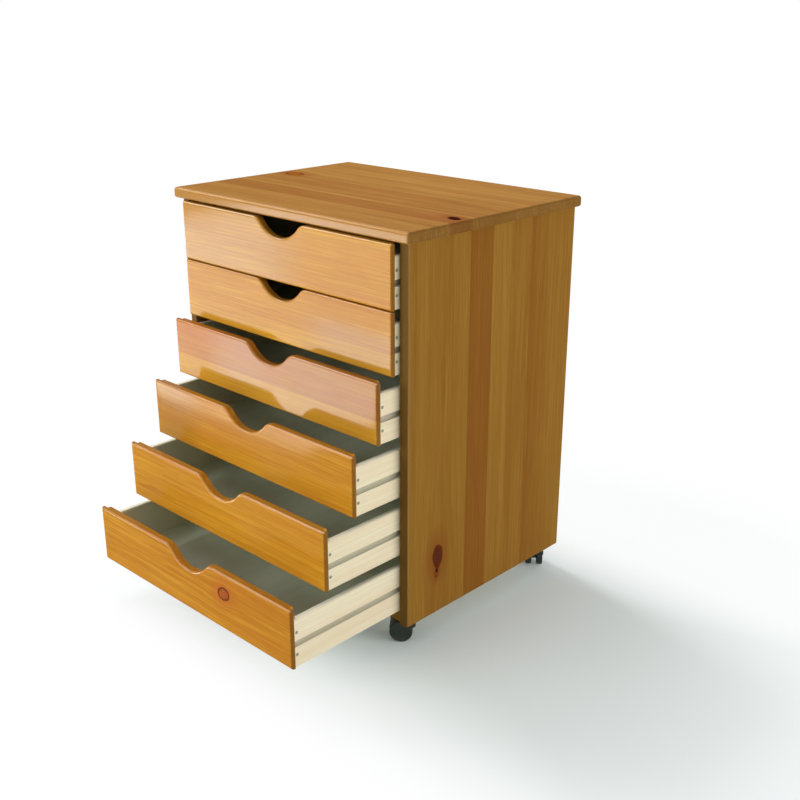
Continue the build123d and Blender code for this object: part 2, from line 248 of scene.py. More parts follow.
beside = reach_from(*SHADOW_HEART).fade(*SHADOW_FADE)
before = (0 - floor_finish.y).fade(*FRONT_FADE)
behind = floor_finish.y.fade(*REAR_FADE) * REAR_SHARE
lifted = beside.math("MAXIMUM", beside, before)
white_seen = by_camera * lifted.math("MAXIMUM", lifted, behind)
white_gloss = by_gloss * reach_from(0.0, 0.0).fade(*GLOSS_FADE)
glow = floor_finish.node("ShaderNodeEmission", None, {"Color": WHITE, "Strength": 1.0})
plain = floor_finish.node(
    "ShaderNodeEmission", None, {"Color": WHITE, "Strength": by_camera * FLOOR_LIFT}
)
lit = floor_finish.node("ShaderNodeAddShader")
floor_finish.tree.links.new(floor_finish.shader.outputs[0], lit.socket.node.inputs[0])
floor_finish.tree.links.new(plain.socket, lit.socket.node.inputs[1])
mixed = floor_finish.node(
    "ShaderNodeMixShader", None, {0: white_seen + white_gloss, 1: lit, 2: glow}
)
floor_finish.tree.links.new(mixed.socket, floor_finish.tree.nodes["Material Output"].inputs[0])
floor.data.materials.append(floor_finish.material)
print("floor", tuple(round(v) for v in floor.dimensions))

# %% The world
AMBIENT = 0.46
world = bpy.data.worlds.new("studio_white")
world.use_nodes = True
bpy.context.scene.world = world
sky = Tree(world.node_tree)
path = sky.node("ShaderNodeLightPath").socket.node.outputs
camera_ray, glossy_ray = Reading(sky, path["Is Camera Ray"]), Reading(sky, path["Is Glossy Ray"])
shown = camera_ray.math("MAXIMUM", camera_ray, glossy_ray)
shown = shown.math("MAXIMUM", shown, Reading(sky, path["Is Transmission Ray"]))
backdrop = sky.node("ShaderNodeBackground", None, {"Color": WHITE, "Strength": 1.0})
ambient = sky.node("ShaderNodeBackground", None, {"Color": WHITE, "Strength": AMBIENT})
whole = sky.node("ShaderNodeMixShader", None, {0: shown, 1: ambient, 2: backdrop})
world.node_tree.links.new(whole.socket, world.node_tree.nodes["World Output"].inputs[0])
print("ambient light", AMBIENT)


# %% The soft lights
def soft_light(name, place, target, width, height, power):
    """A rectangular studio light that faces its target."""
    turn = (Vector(target) - Vector(place)).to_track_quat("-Z", "Y").to_euler()
    bpy.ops.object.light_add(type="AREA", location=place, rotation=turn)
    light = bpy.context.object
    light.name = name
    light.data.shape = "RECTANGLE"
    light.data.size = width
    light.data.size_y = height
    light.data.energy = power
    light.visible_camera = False
    return light


# Each light is its place, its target, its width and height, and its power
LIGHTS = {
    "left_softbox": ((-1.55, 0.30, 2.40), (0, 0.1, 0.3), 1.0, 1.0, 43.5),
    "front_softbox": ((-1.25, -3.2, 1.35), (0, 0, 0.35), 2.2, 1.6, 69),
    "right_fill": ((2.6, 0.9, 0.75), (0.2, 0.1, 0.40), 2.2, 1.0, 39),
}
CARDS = {
    "low_card": ((-1.66, -1.78, 0.02), (-1.66, -1.78, 1.0), 2.48, 2.24, 220),
    "high_card": ((-1.5, -1.0, 1.9), (0, -0.2, 0.35), 1.6, 1.0, 42),
}
for name, setting in LIGHTS.items():
    soft_light(name, *setting).visible_glossy = False
for name, setting in CARDS.items():
    soft_light(name, *setting).visible_diffuse = False

# %% [markdown]
# ## Varnished pine
# Pine shows pale earlywood and narrow, darker latewood. A board is a slice through a tube of
# year rings, so the finish measures how far each point lies from the heart of the tree, and the
# rings come out right on faces, edges and ends alike. Wide panels are glued up from boards:
# each board has its own tint and its own heart. Knots push the rings aside and darken.

# %% The pine recipe
RING_WIDTH = 0.0075  # from one year ring to the next
HEART_DEPTH = 0.035  # the least depth of the heart behind the face
HEART_SPREAD = 0.16  # how far apart the hearts of the boards lie, across the grain
KNOT_PALE, KNOT_BROWN = (0.43, 0.105, 0.014, 1), (0.20, 0.036, 0.006, 1)
KNOT_DEAD, KNOT_RIM = (0.035, 0.010, 0.008, 1), (0.105, 0.018, 0.004, 1)


def pine(name, axes, pale, deep, red, boards=((0, 0.5, 0.2),), knots=(), gloss=None, grain=1.0,
         **constants):
    """Pine whose grain runs along the first of three axes; the second lies across its face.

    Each board is its first edge, how deep its tone is and how red. Each knot is its place along
    and across, its radius, its length to its width, its slant and how dark it is."""
    finish = Finish(name, **constants)
    along, across, through = [getattr(finish, axis) for axis in axes]
    number, depth, redness = 0.0, boards[0][1], boards[0][2]
    for before, after in zip(boards, boards[1:]):
        beyond = across > after[0]
        number = beyond + number
        depth = beyond * (after[1] - before[1]) + depth
        redness = beyond * (after[2] - before[2]) + redness
    heart, heart_depth, _ = finish.chance(number + 7.0)
    # Knots push the grain aside
    bent, core, rim, halo, dark = across, 0.0, 0.0, 0.0, 0.0
    for place_along, place_across, radius, stretch, slant, darkness in knots:
        off_across = across - place_across
        off_along = (along - place_along - off_across * slant) / stretch
        spread = off_along * off_along + off_across * off_across
        bent = bent - off_across * (radius * radius * 1.3) / (spread + radius * radius * 0.7)
        ragged = finish.noise(finish.vector(along * 90, across * 90, through * 90), 1.0, 2.0)
        reach = spread.root() / radius + ragged * 0.35
        core = core + (1 - reach.fade(0.80, 1.12))
        rim = rim + reach.fade(0.72, 0.94) * (1 - reach.fade(1.0, 1.20))
        halo = halo + (1 - reach.fade(0.9, 3.4))
        dark = dark + (1 - reach.fade(1.2, 1.6)) * darkness
    # Year rings round the heart of the tree, streaks and fibres along the grain
    slow = finish.vector(along * 1.3, across * 7.0, through * 7.0 + number * 3.7)
    wander = finish.noise(slow, 1.0, 1.0)
    side = bent - (heart - 0.5) * HEART_SPREAD + wander * 0.060 + number * 0.013
    below = through + HEART_DEPTH + heart_depth * 0.06
    streak_place = finish.vector(along * 2.0, bent * 75, through * 75 + number * 5.1)
    streak = finish.noise(streak_place, 1.0, 3.0, 0.62)
    ring = (side * side + below * below).root() / RING_WIDTH + streak * 1.6
    late = ring.fraction() ** 2.4
    fibre = finish.noise(finish.vector(along * 10, bent * 480, through * 480), 1.0, 2.0, 0.7)
    broad_place = finish.vector(along * 2.6, bent * 20, through * 20 + number * 2.3)
    broad = finish.noise(broad_place, 1.0, 2.0)
    fine_place = finish.vector(along * 6.5, bent * 340, through * 340 + number * 4.3)
    fine = finish.noise(fine_place, 1.0, 3.0, 0.65)
    line = (1 - abs(fine) * 14).math("MAXIMUM", 1 - abs(fine) * 14, 0.0)
    figure = late * 0.30 + streak * 0.60 + fine * 1.5
    figure = figure + fibre * 0.5 + broad * 0.6 + line * 0.35 - 0.08
    colour = finish.blend(depth + figure * grain, pale, deep)
    blush_place = finish.vector(along * 1.8, bent * 34, through * 34 + number * 1.9)
    blush = finish.noise(blush_place, 1.0, 1.0)
    colour = finish.blend(redness + blush * 0.9, colour, red)
    if knots:
        growth = (reach * 2.6 + streak).fraction()
        colour = finish.blend(halo * 0.62, colour, red)
        brown = finish.blend(growth * 0.55 + ragged * 0.8, KNOT_PALE, KNOT_BROWN)
        brown = finish.blend(dark, brown, KNOT_DEAD)
        colour = finish.blend(core, colour, brown)
        colour = finish.blend(rim * 0.92, colour, KNOT_RIM)
    finish.colour = colour
    finish.give(Base_Color=colour, Roughness=0.46 + late * 0.08 + fibre * 0.12)
    if gloss:
        finish.give(Coat_Weight=gloss(finish))
    finish.bump(late * 0.5 + fibre * 0.5 + streak * 0.4, 0.22, 0.0003)
    return finish


top_low, top_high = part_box("top_panel")
side_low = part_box("right_side_panel")[0]
print("top panel", [round(v, 3) for v in top_high - top_low])

# %% [markdown]
# ### The top, the sides and the fronts
# The top's boards run from left to right, the sides' boards run up and down, and each drawer
# front is one board. The boards of a panel come from different trees, so each one has a tone of
# its own: one board of each panel is much redder than its neighbours. The varnish is glossy on
# the fronts and on the rounded front edges, which hands and cloths polish, and it is rubbed
# down to a dull satin on the top and the sides.

# %% Finishes of the outer boards
EDGE_GLOSS = 0.9
TOP_PALE, TOP_DEEP = (0.47, 0.245, 0.066, 1), (0.30, 0.125, 0.032, 1)
TOP_RED, TOP_SHADE = (0.31, 0.090, 0.030, 1), (0.20, 0.100, 0.020, 1)
TOP_EDGE_LIGHT, TOP_END = (0.49, 0.225, 0.038, 1), (0.13, 0.062, 0.012, 1)
SIDE_PALE, SIDE_DEEP = (0.295, 0.150, 0.026, 1), (0.200, 0.080, 0.011, 1)
SIDE_RED, SIDE_EDGE_SHADE = (0.197, 0.060, 0.010, 1), (0.095, 0.060, 0.018, 1)
front_face = side_low.y


def top_gloss(finish):
    """Gloss on the rounded front edge of the top alone."""
    return EDGE_GLOSS * (1 - finish.y.fade(top_low.y + 0.003, top_low.y + 0.006))


def side_gloss(finish):
    """Gloss on the front arris of a side panel alone."""
    return EDGE_GLOSS * (1 - finish.y.fade(front_face + 0.0020, front_face + 0.0035)) * (
        finish.y.fade(front_face + 0.0002, front_face + 0.0008)
    )


top_pine = pine(
    "top_pine", "xyz", TOP_PALE, TOP_DEEP, TOP_RED,
    boards=(
        (-0.100, 0.30, 0.05), (-0.012, 0.56, 0.34), (0.037, 0.20, 0.00), (0.047, 0.32, 0.05),
        (0.069, 0.40, 0.16), (0.128, 0.34, 0.08), (0.152, 0.20, 0.00), (0.176, 0.32, 0.03),
        (0.203, 0.22, 0.00), (0.262, 0.32, 0.05),
    ),
    knots=((0.247, 0.0205, 0.0085, 1.35, -0.5, 1.0), (-0.228, 0.134, 0.0115, 1.6, 0.0, 0.0)),
    gloss=top_gloss, grain=0.85, Coat_Roughness=0.10, Coat_IOR=1.22, Specular_IOR_Level=0.0,
)
# Painted light: the rounded front edge of the top is coloured brighter and more orange than its
# face
painted_light_front_edge = 1 - top_pine.y.fade(top_low.y + 0.0015, top_low.y + 0.0050)
pores = top_pine.noise(top_pine.vector(0.0, top_pine.y * 420, top_pine.z * 45), 1.0, 2.0, 0.6)
sawn_end = abs(top_pine.x).fade(top_high.x - 0.0040, top_high.x - 0.0010)
# Painted shade: the top darkens towards its far left end
far_end = 1 - top_pine.x.fade(-0.28, 0.10)
top_colour = top_pine.blend(far_end * 0.28, top_pine.colour, TOP_SHADE)
top_colour = top_pine.blend(painted_light_front_edge * 0.8, top_colour, TOP_EDGE_LIGHT)
top_colour = top_pine.blend(sawn_end * (0.70 + pores * 0.7), top_colour, TOP_END)
top_pine.give(Base_Color=top_colour)


def side_finish(name, boards, knots):
    """Panel pine whose front edge is darkened by painted shade."""
    finish = pine(
        name, "zyx", SIDE_PALE, SIDE_DEEP, SIDE_RED,
        boards=[(front_face + edge, tone, red) for edge, tone, red in boards], knots=knots,
        gloss=side_gloss, grain=0.7, Coat_Roughness=0.12, Coat_IOR=1.45, Specular_IOR_Level=0.01,
    )
    # Painted shade: the front edge is darkened where the drawer fronts shade it
    painted_shade_front_edge = 1 - finish.y.fade(front_face + 0.0003, front_face + 0.0016)
    finish.give(Base_Color=finish.blend(painted_shade_front_edge * 0.6, finish.colour, SIDE_EDGE_SHADE))
    return finish


side_pine = side_finish(
    "side_pine",
    boards=(
        (-0.001, 0.26, 0.00), (0.044, 0.42, 0.14), (0.080, 0.32, 0.00), (0.132, 0.66, 0.34),
        (0.184, 0.20, 0.00), (0.227, 0.36, 0.06), (0.277, 0.55, 0.28), (0.305, 0.40, 0.14),
        (0.350, 0.30, 0.00),
    ),
    knots=(
        (side_low.z + 0.0725, front_face + 0.0655, 0.0034, 2.4, 0.35, 0.5),
        (side_low.z + 0.0995, front_face + 0.068, 0.0105, 1.75, 0.0, 0.84),
    ),
)
left_side_pine = side_finish(
    "left_side_pine",
    boards=(
        (-0.001, 0.34, 0.04), (0.061, 0.22, 0.00), (0.118, 0.48, 0.20), (0.171, 0.30, 0.00),
        (0.236, 0.40, 0.08), (0.298, 0.24, 0.00), (0.349, 0.44, 0.12),
    ),
    knots=((side_low.z + 0.412, front_face + 0.262, 0.0080, 1.5, 0.0, 0.3),),
)
print("top and side finishes made")

# %% Finish of the drawer fronts
FRONT_PALE, FRONT_DEEP = (0.69, 0.345, 0.031, 1), (0.45, 0.165, 0.010, 1)
FRONT_RED, FRONT_END = (0.50, 0.132, 0.018, 1), (0.14, 0.055, 0.010, 1)
FRONT_UPPER_SHADE = (0.17, 0.075, 0.012, 1)
SHEEN_PATCH_DULL = (0.03, 0.02, 0.01, 1)  # the dark tone that the painted sheen patches dull the colour towards
FACE_GLOSS, ARRIS_GLOSS, SHEEN_PATCH_GLOSS = 0.19, 0.62, 0.15
drawer_names = [f"drawer_{number}" for number in range(1, 7)]
lowest_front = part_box("drawer_6_front")[0]
front_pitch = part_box("drawer_5_front")[0].z - lowest_front.z
front_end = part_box("drawer_1_front")[1].x
# Painted sheen: patches of extra coat and duller colour laid where a reflection falls on the upper
# fronts. Each is a front counted from the lowest, where along it the patch begins and where it is
# full, and up to which share of the front's height
SHEEN_PATCHES = (
    (5, 0.08, -0.05, 1.0), (4, 0.02, 0.14, 0.50), (3, -0.18, -0.08, 1.0), (2, -0.10, -0.17, 1.0),
)


def painted_sheen(finish):
    """How strong the painted sheen is on the upper fronts, from 0 to about 1."""
    sheen = 0.0
    for step, patch_start, patch_full, top in SHEEN_PATCHES:
        up = (finish.z - lowest_front.z) / front_pitch - step
        on_front = (up > 0.0) * (1 - (up > 1.0))
        along = finish.x.fade(patch_start, patch_full) if patch_start < patch_full else 1 - finish.x.fade(patch_full, patch_start)
        sheen = sheen + on_front * (1 - up.fade(top - 0.02, top + 0.25)) * along
    wave = finish.noise(finish.vector(finish.x * 7, 0.0, finish.z * 16), 1.0, 1.0)
    return sheen * (0.95 + wave * 0.7)


def front_gloss(finish):
    """Gloss of a front: low on its face, high where it rounds over to its upper edge, and raised in
    the painted sheen patches.
    """
    arris = finish.facing_up.fade(0.10, 0.35) * (1 - finish.facing_up.fade(0.75, 0.95))
    return FACE_GLOSS + arris * ARRIS_GLOSS + painted_sheen(finish) * SHEEN_PATCH_GLOSS


front_pine = pine(
    "front_pine", "xzy", FRONT_PALE, FRONT_DEEP, FRONT_RED,
    boards=[(lowest_front.z + step * front_pitch - 0.001, tone, red) for step, tone, red in (
        (0, 0.68, 0.00), (1, 0.44, 0.05), (2, 0.42, 0.04), (2.55, 0.50, 0.18), (3, 0.10, 0.00),
        (3.40, 0.66, 0.36), (4, 0.18, 0.00), (4.35, 0.42, 0.14), (5, 0.34, 0.06),
    )],
    knots=((0.0875, lowest_front.z + 0.062, 0.0105, 1.25, 0.2, 0.0),),
    gloss=front_gloss, grain=0.8, Coat_Roughness=0.12, Coat_IOR=1.45, Specular_IOR_Level=0.0,
)
# Painted sheen: the colour is dulled under the sheen patches
front_colour = front_pine.blend(painted_sheen(front_pine) * 0.17, front_pine.colour, SHEEN_PATCH_DULL)
end_grain = abs(front_pine.x).fade(front_end - 0.0032, front_end - 0.0010)
front_colour = front_pine.blend(end_grain * 0.75, front_colour, FRONT_END)
# Painted shade: the faces of the fronts that look up are darkened brown
painted_shade_upper = front_pine.facing_up.fade(0.55, 0.95)
front_pine.give(Base_Color=front_pine.blend(painted_shade_upper * 0.55, front_colour, FRONT_UPPER_SHADE))
print("front pitch", round(front_pitch, 4), "m")

# %% [markdown]
# ### Unfinished wood, plywood, plastic and steel
# Inside, the wood is bare. The drawers' side boards are cream pine with a quiet grain, and the
# bottoms are thin plywood that looks grey in the shade. The casters are black moulded nylon
# with a faint grain from the mould, and their plates, pins and screws are zinc plated.

# %% Bare pine
BARE_PALE, BARE_DEEP, BARE_RED = (0.81, 0.73, 0.53, 1), (0.73, 0.60, 0.39, 1), (0.77, 0.57, 0.39, 1)
GROOVE_SHADE, SHADED, UPPER_FACE_LIGHT = (0.30, 0.29, 0.22, 1), (0.62, 0.68, 0.49, 1), (0.77, 0.77, 0.63, 1)
GROOVE_RISE = (0.0343, 0.0447)  # lower and upper edge of a groove above its front's foot
bare_boards = [(lowest_front.z + step * front_pitch, 0.3 + 0.05 * step, 0.1) for step in range(6)]
bare_long = pine(
    "bare_pine_lengthwise", "yzx", BARE_PALE, BARE_DEEP, BARE_RED, bare_boards,
    Specular_IOR_Level=0.2,
)
# Painted shade: the grooves the runners ride in are darkened grey
board_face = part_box("drawer_1_right_side")[1].x
rise = ((bare_long.z - lowest_front.z) / front_pitch).fraction() * front_pitch
groove = (rise > GROOVE_RISE[0]) * (1 - (rise > GROOVE_RISE[1]))
groove = groove * (abs(bare_long.x) > board_face - 0.0055)
groove = groove * (1 - abs(bare_long.x).fade(board_face - 0.0015, board_face - 0.0002))
bare_colour = bare_long.blend(groove * 0.62, bare_long.colour, GROOVE_SHADE)
# Painted shade: the inner faces of the side boards are turned a darker grey-green
inside = 1 - abs(bare_long.x).fade(board_face - 0.0098, board_face - 0.0092)
bare_colour = bare_long.blend(inside * 0.75, bare_colour, SHADED)
# Painted light: the faces of the bare boards that look up are turned a paler, cooler cream
painted_light_up = bare_long.facing_up.fade(0.6, 0.9)
bare_long.give(Base_Color=bare_long.blend(painted_light_up * 0.8, bare_colour, UPPER_FACE_LIGHT))
bare_wide = pine(
    "bare_pine_crosswise", "xzy", BARE_PALE, BARE_DEEP, BARE_RED, bare_boards,
    Specular_IOR_Level=0.2,
)
print("bare pine made")


# %% Plywood
def plywood(name, axes, face, layer, sheet_start, thickness, pitch=None):
    """Plywood: a straight-grained face, and its three layers on the edges."""
    finish = Finish(name, Specular_IOR_Level=0.25)
    along, across, through = [getattr(finish, axis) for axis in axes]
    rise = (through - sheet_start) / pitch if pitch else (through - sheet_start) / thickness
    rise = rise.fraction() * (pitch / thickness) if pitch else rise
    middle = rise.fade(0.30, 0.34) * (1 - rise.fade(0.66, 0.70))  # the middle one of three layers
    broad = finish.noise(finish.vector(along * 2.5, across * 22, through * 9), 1.0, 3.0, 0.55)
    fine = finish.noise(finish.vector(along * 14, across * 420, through * 40), 1.0, 2.0, 0.6)
    colour = finish.blend(0.5 + broad * 0.9 + fine * 0.5, face, layer)
    dark_layer = [value * 0.62 for value in layer[:3]] + [1]
    colour = finish.blend(middle * 0.7, colour, dark_layer)
    finish.give(Base_Color=colour, Roughness=0.72 + fine * 0.15)
    finish.bump(fine + broad * 0.4, 0.25, 0.0002)
    return finish


BOTTOM_THICKNESS, BACK_THICKNESS = 0.004, 0.006
BOTTOM_FACE, BOTTOM_LAYER = (0.80, 0.84, 0.66, 1), (0.54, 0.59, 0.46, 1)
BACK_FACE, BACK_LAYER = (0.70, 0.52, 0.32, 1), (0.58, 0.40, 0.22, 1)
ply_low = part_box("drawer_6_bottom")[0]
drawer_ply = plywood(
    "drawer_bottom_plywood", "yxz", BOTTOM_FACE, BOTTOM_LAYER, ply_low.z, BOTTOM_THICKNESS,
    front_pitch,
)
back_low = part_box("back_panel")[0]
back_ply = plywood("back_plywood", "zxy", BACK_FACE, BACK_LAYER, back_low.y, BACK_THICKNESS)
print("plywood made")


# %% Nylon and steel
DUST = (0.16, 0.15, 0.13, 1)
HOOD_BLACK, WHEEL_BLACK = (0.013, 0.016, 0.013, 1), (0.014, 0.018, 0.013, 1)
ZINC_PALE, ZINC_DARK = (0.50, 0.50, 0.47, 1), (0.36, 0.36, 0.34, 1)
NAIL_PALE, NAIL_DARK = (0.30, 0.31, 0.21, 1), (0.20, 0.21, 0.14, 1)


def nylon(name, tone):
    """Black moulded nylon, a little dusty near the floor."""
    finish = Finish(name, Specular_IOR_Level=0.45)
    place = finish.vector(finish.x, finish.y, finish.z)
    mottle = finish.noise(place, 60, 2.0)
    grain = finish.noise(place, 2600, 2.0, 0.6)
    above_dust = finish.z.fade(0.0, 0.012)
    lighter = [value * 2.1 for value in tone[:3]] + [1]
    colour = finish.blend(0.35 + mottle * 0.8, tone, lighter)
    colour = finish.blend(0.22 * (1 - above_dust), colour, DUST)
    finish.give(Base_Color=colour, Roughness=0.46 + mottle * 0.14 + grain * 0.1)
    finish.bump(grain, 0.16, 0.0001)
    return finish


hood_nylon = nylon("hood_nylon", HOOD_BLACK)
wheel_nylon = nylon("wheel_nylon", WHEEL_BLACK)
steel = Finish("zinc_plated_steel", Metallic=1.0)
steel_place = steel.vector(steel.x, steel.y, steel.z)
cloud = steel.noise(steel_place, 140, 3.0)
scratch = steel.noise(steel.vector(steel.x * 900, steel.y * 60, steel.z * 900), 1.0, 2.0)
steel.give(
    Base_Color=steel.blend(0.5 + cloud, ZINC_PALE, ZINC_DARK),
    Roughness=0.34 + cloud * 0.2 + scratch * 0.12,
)
steel.bump(scratch, 0.1, 0.0001)
nail_steel = Finish("nail_steel", Metallic=0.1, Specular_IOR_Level=0.2)
nail_place = nail_steel.vector(nail_steel.x, nail_steel.y, nail_steel.z)
tarnish = nail_steel.noise(nail_place, 700, 2.0)
nail_steel.give(
    Base_Color=nail_steel.blend(0.5 + tarnish, NAIL_PALE, NAIL_DARK),
    Roughness=0.5 + tarnish * 0.3,
)
nail_steel.bump(tarnish, 0.2, 0.0001)
print("nylon and steel made")

# %% [markdown]
# ### Finishes for the solids that stay
# The flat panels, the side boards and the runners already have the right shape, so they stay as
# they were loaded and only their material slots change.

# %% Dress the solids
looks = {
    "top_panel": top_pine, "left_side_panel": left_side_pine, "right_side_panel": side_pine,
    "front_rail": side_pine, "back_panel": back_ply, "bottom_panel": bare_wide,
    "left_runners": bare_long, "right_runners": bare_long, "top_cleats": bare_long,
    "caster_plates": steel, "caster_kingpins": steel,
}
for name, node in nodes.items():
    if name in looks:
        look = looks[name]
    elif name.endswith("_front"):
        look = front_pine
    elif name.endswith("_bottom"):
        look = drawer_ply
    elif name.endswith("_side"):
        look = bare_long
    elif name.endswith("_back"):
        look = bare_wide
    elif name.endswith("_hood"):
        look = hood_nylon
    elif name.endswith("_wheels"):
        look = wheel_nylon
    else:
        look = steel
    for slot in node.material_slots:
        slot.material = look.material
print("dressed", len(nodes), "nodes")

# %% [markdown]
# ## Working by hand, in code
# Each new piece starts as a primitive at its size and place and is shaped in edit mode. An
# operator acts on whatever is selected, so a few helpers start a piece with nothing else
# selected, pick its faces, edges or corners by where they are, and copy a finished piece.


# %% Helpers for modelling
def leave():
    """Leave edit mode with nothing selected."""
    if bpy.context.mode != "OBJECT":
        bpy.ops.object.mode_set(mode="OBJECT")
    bpy.ops.object.select_all(action="DESELECT")


def start(add, name, stretch=(1, 1, 1), **settings):
    """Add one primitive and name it."""
    leave()
    add(**settings)
    piece = bpy.context.object
    piece.name = name
    piece.scale = stretch
    bpy.ops.object.transform_apply(location=True, rotation=True, scale=True)
    return piece


def only(piece):
    leave()
    piece.select_set(True)
    bpy.context.view_layer.objects.active = piece


def pick(piece, kind, test):
    """Enter edit mode with just those faces, edges or corners selected that pass the test."""
    only(piece)
    bpy.ops.object.mode_set(mode="EDIT")
    bpy.ops.mesh.select_mode(type=kind)
    bpy.ops.mesh.select_all(action="DESELECT")
    bpy.ops.object.mode_set(mode="OBJECT")
    mesh = piece.data
    if kind == "FACE":
        for face in mesh.polygons:
            face.select = bool(test(face.center, face.normal))
    elif kind == "EDGE":
        for edge in mesh.edges:
            edge.select = bool(test(*[mesh.vertices[index].co for index in edge.vertices]))
    else:
        for corner in mesh.vertices:
            corner.select = bool(test(corner.co))
    bpy.ops.object.mode_set(mode="EDIT")


def cut(piece, places, direction):
    """Slice all faces of the piece with planes square to one direction."""
    for place in places:
        pick(piece, "FACE", lambda centre, normal: True)
        bpy.ops.mesh.bisect(plane_co=[place * part for part in direction], plane_no=direction)
    bpy.ops.object.mode_set(mode="OBJECT")


def apply_modifier(piece, kind, **settings):
    only(piece)
    modifier = piece.modifiers.new("step", kind)
    for name, value in settings.items():
        setattr(modifier, name, value)
    bpy.ops.object.modifier_apply(modifier=modifier.name)


def soften(piece, angle=35):
    """Turn faces outwards, and shade arrises smooth while flat faces stay flat."""
    pick(piece, "FACE", lambda centre, normal: True)
    bpy.ops.mesh.normals_make_consistent(inside=False)
    bpy.ops.object.mode_set(mode="OBJECT")
    bpy.ops.object.shade_smooth_by_angle(angle=radians(angle))
    apply_modifier(piece, "WEIGHTED_NORMAL", keep_sharp=True)


def copy_piece(piece, name, shift=(0, 0, 0), turn=0.0):
    """A copy with its own mesh, turned about +Z and then moved."""
    only(piece)
    bpy.ops.object.duplicate(linked=False)
    copy = bpy.context.object
    copy.name = name
    copy.rotation_euler = (0, 0, turn)
    copy.location = shift
    bpy.ops.object.transform_apply(location=True, rotation=True, scale=True)
    return copy


def join(pieces, name):
    only(pieces[0])
    for piece in pieces:
        piece.select_set(True)
    bpy.ops.object.join()
    bpy.context.object.name = name
    return bpy.context.object


def remove(*pieces):
    for piece in pieces:
        bpy.data.objects.remove(piece)


def dress(piece, finish):
    piece.data.materials.clear()
    piece.data.materials.append(finish.material)


print("modelling helpers ready")

# %% [markdown]
# ## The drawer fronts
# Each front is a 14 mm board whose upper edge dips into a scoop for the fingers. Its arrises
# are rounded over on the face, and the whole upper edge is eased at the back as well. The side
# boards lap its rabbeted ends, so the back part of the front is narrower than its face. A plane
# stood on edge gives the outline: its top edge is divided and the points are drawn down along
# two shoulders and one hollow. Two extrusions make the lip and the narrower tongue, and a
# bevel rounds the arrises, which a plain box could not show.

# %% Outline of the front
SCOOP_DEPTH, SCOOP_RADIUS, SHOULDER_RADIUS = 0.0265, 0.058, 0.020
LIP, BOARD = 0.0065, 0.010  # thickness of the lip at each end, and of a side board
GROOVE_DEPTH, GROOVE_OVERRUN = 0.004, 0.002
front_low, front_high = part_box("drawer_1_front")
front_width, front_height = front_high.x - front_low.x, front_high.z - front_low.z
front_thickness = front_high.y - front_low.y
hollow_rise = SCOOP_RADIUS - SCOOP_DEPTH
shoulder_x = sqrt((SCOOP_RADIUS + SHOULDER_RADIUS) ** 2 - (hollow_rise + SHOULDER_RADIUS) ** 2)
meet_x = shoulder_x * SCOOP_RADIUS / (SCOOP_RADIUS + SHOULDER_RADIUS)


def drop(x):
    """How far the upper edge lies below the top of the front."""
    reach = abs(x)
    if reach >= shoulder_x:
        return 0.0
    if reach >= meet_x:
        return SHOULDER_RADIUS - sqrt(SHOULDER_RADIUS**2 - (shoulder_x - reach) ** 2)
    return sqrt(SCOOP_RADIUS**2 - reach**2) - hollow_rise


front = start(
    bpy.ops.mesh.primitive_plane_add, "drawer_front_shape",
    (front_width, front_height, 1), size=1, location=(0, 0, front_height / 2),
    rotation=(pi / 2, 0, 0),
)
cut(front, (-front_width / 2 + BOARD, -shoulder_x, shoulder_x, front_width / 2 - BOARD), (1, 0, 0))
top_edge = front_height - 1e-5
pick(front, "EDGE", lambda a, b: min(a.z, b.z) > top_edge and abs(a.x + b.x) < 1e-5)
bpy.ops.mesh.subdivide(number_cuts=39)
bpy.ops.object.mode_set(mode="OBJECT")
for x in sorted(v.co.x for v in front.data.vertices if v.co.z > top_edge and drop(v.co.x) > 0):
    pick(front, "VERT", lambda co: co.z > top_edge and abs(co.x - x) < 1e-5)
    bpy.ops.transform.translate(value=(0, 0, -drop(x)))
bpy.ops.object.mode_set(mode="OBJECT")
print("outline of", len(front.data.vertices), "points, scoop half as wide as", round(shoulder_x, 4))

# %% Lip, tongue and groove
pick(front, "FACE", lambda centre, normal: True)
bpy.ops.mesh.extrude_region_move(TRANSFORM_OT_translate={"value": (0, LIP, 0)})
bpy.ops.mesh.normals_make_consistent(inside=False)
tongue_x = front_width / 2 - BOARD
pick(front, "FACE", lambda centre, normal: centre.y > LIP - 1e-5 and abs(centre.x) < tongue_x)
bpy.ops.mesh.extrude_region_move(
    TRANSFORM_OT_translate={"value": (0, front_thickness - LIP, 0)}
)
bpy.ops.object.mode_set(mode="OBJECT")
ply_low, ply_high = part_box("drawer_1_bottom")
groove = start(
    bpy.ops.mesh.primitive_cube_add, "groove_cutter",
    (front_width - 2 * BOARD + GROOVE_OVERRUN, 2 * GROOVE_DEPTH, ply_high.z - ply_low.z), size=1,
    location=(0, front_thickness, (ply_low.z + ply_high.z) / 2 - front_low.z),
)
apply_modifier(front, "BOOLEAN", operation="DIFFERENCE", object=groove, solver="EXACT")
remove(groove)
print("front has", len(front.data.polygons), "faces before its arrises are rounded")

# %% Round the arrises
FACE_ROUNDING, UPPER_ROUNDING = 0.0036, 0.0030
pick(front, "EDGE", lambda a, b: max(a.y, b.y) < 1e-5 and not (
    abs(a.x - b.x) < 1e-5 and abs(a.x) < front_width / 2 - 1e-5
))
bpy.ops.mesh.bevel(
    offset=FACE_ROUNDING, offset_type="OFFSET", segments=5, profile=0.5, affect="EDGES"
)
upper = front_height - SCOOP_DEPTH - 0.002
back_y = front_thickness - 1e-5
pick(front, "EDGE", lambda a, b: min(a.y, b.y) > back_y and min(a.z, b.z) > upper and (
    abs(a.x - b.x) > 1e-5
))
bpy.ops.mesh.bevel(
    offset=UPPER_ROUNDING, offset_type="OFFSET", segments=4, profile=0.5, affect="EDGES"
)
bpy.ops.object.mode_set(mode="OBJECT")
soften(front)
print("front has", len(front.data.polygons), "faces")

